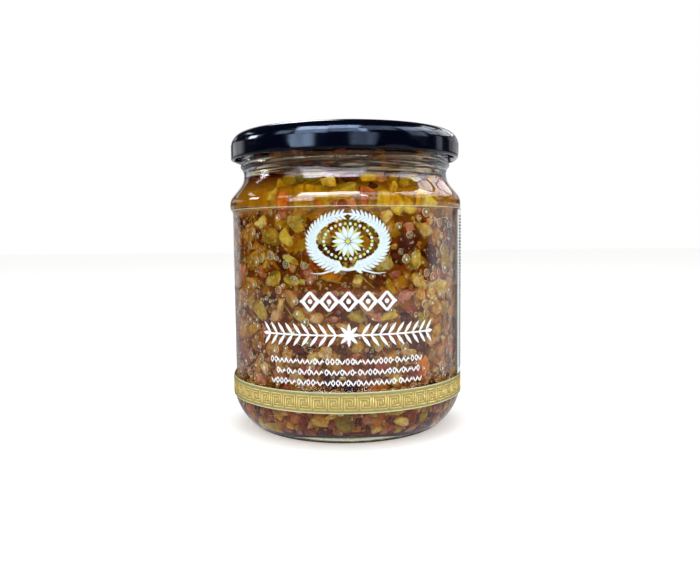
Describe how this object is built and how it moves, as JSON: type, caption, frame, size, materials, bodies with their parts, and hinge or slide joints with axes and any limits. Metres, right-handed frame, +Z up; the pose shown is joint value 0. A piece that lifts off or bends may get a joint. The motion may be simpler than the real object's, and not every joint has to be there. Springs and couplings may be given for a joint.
{
  "type": "jar of olive salad",
  "caption": "Round glass jar of chopped olive salad in oil, shut with a twist-off metal lid and wrapped in a clear label with a key pattern border.",
  "frame": {"origin": "centre of the ring that the jar stands on", "axes": "+Z up along the axis of the jar, the front of the label faces -Y"},
  "size_m": [0.0874, 0.0872, 0.109],
  "materials": {
    "glass": "clear flint glass, glossy, with a faint green tint where it is thick",
    "lid_lacquer": "tin-plated steel in glossy near-black lacquer",
    "label_film": "clear glossy film printed with an olive green and gold border",
    "salad_in_oil": "chopped vegetables in golden oil"
  },
  "bodies": {
    "root": {"jar_glass": "glass", "lid": "lid_lacquer", "label": "label_film", "olive_salad": "salad_in_oil"}
  },
  "joints": []
}
